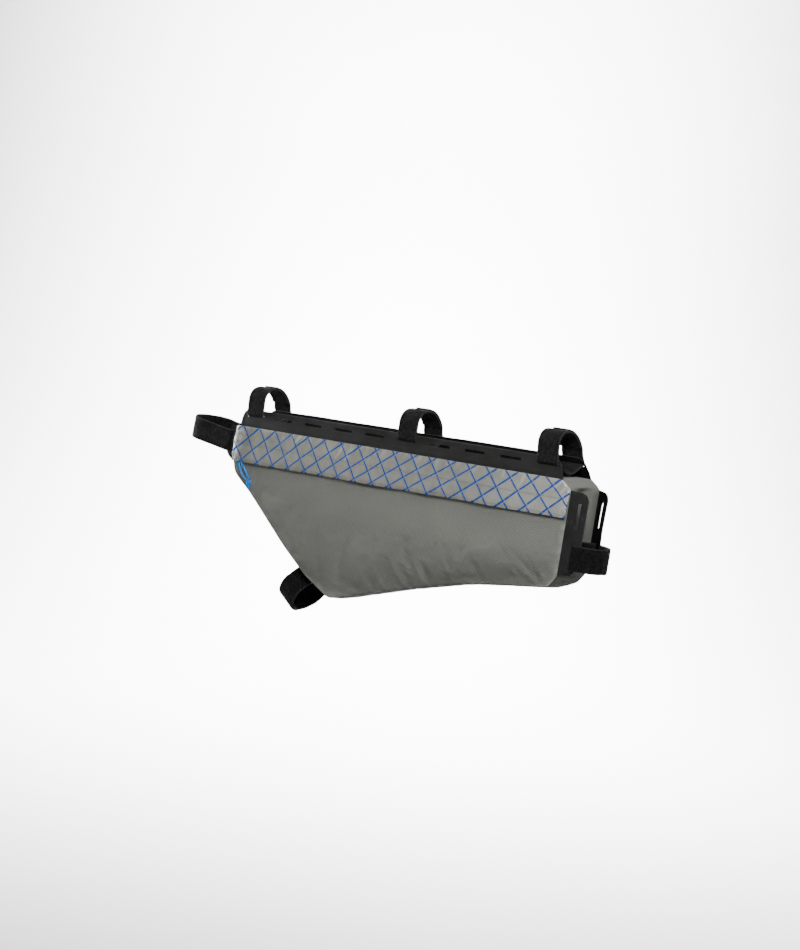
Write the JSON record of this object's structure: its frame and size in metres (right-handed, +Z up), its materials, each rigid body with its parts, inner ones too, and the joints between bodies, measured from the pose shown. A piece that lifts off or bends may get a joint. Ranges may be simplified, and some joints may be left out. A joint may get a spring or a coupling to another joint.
{
  "type": "bicycle frame bag",
  "caption": "Flat hollow cloth bag that hangs inside a bicycle frame from slotted flanges and hook-and-loop straps, with a flap over its zip.",
  "frame": {"origin": "on the axis of the top bar that the bag hangs from, at the middle strap", "axes": "+X along the top bar to the rear, +Y to the bag's right side, +Z up and square to the bar"},
  "size_m": [0.5987, 0.0676, 0.2537],
  "materials": {
    "woven_cloth": "matt woven cloth with fine diagonal ribs",
    "ripstop_laminate": "satin laminate with a plain diamond ripstop grid",
    "coated_fabric": "matt rubbery coated fabric, laser-cut",
    "hook_and_loop": "fuzzy hook-and-loop tape",
    "zip_plastic": "satin black",
    "blue_cord": "braided thin cord"
  },
  "bodies": {
    "root": {"bag_shell": "woven_cloth", "zip_flap": "ripstop_laminate", "zip_tape": "zip_plastic", "zip_slider": "zip_plastic", "pull_cord": "blue_cord", "cord_knot": "blue_cord", "top_flange_left": "coated_fabric", "top_flange_right": "coated_fabric", "rear_flange_left": "coated_fabric", "rear_flange_right": "coated_fabric", "front_flange_left": "coated_fabric", "front_flange_right": "coated_fabric", "top_strap_front": "hook_and_loop", "top_strap_middle": "hook_and_loop", "top_strap_rear": "hook_and_loop", "rear_strap": "hook_and_loop", "front_strap": "hook_and_loop", "lower_strap": "hook_and_loop"}
  },
  "joints": []
}
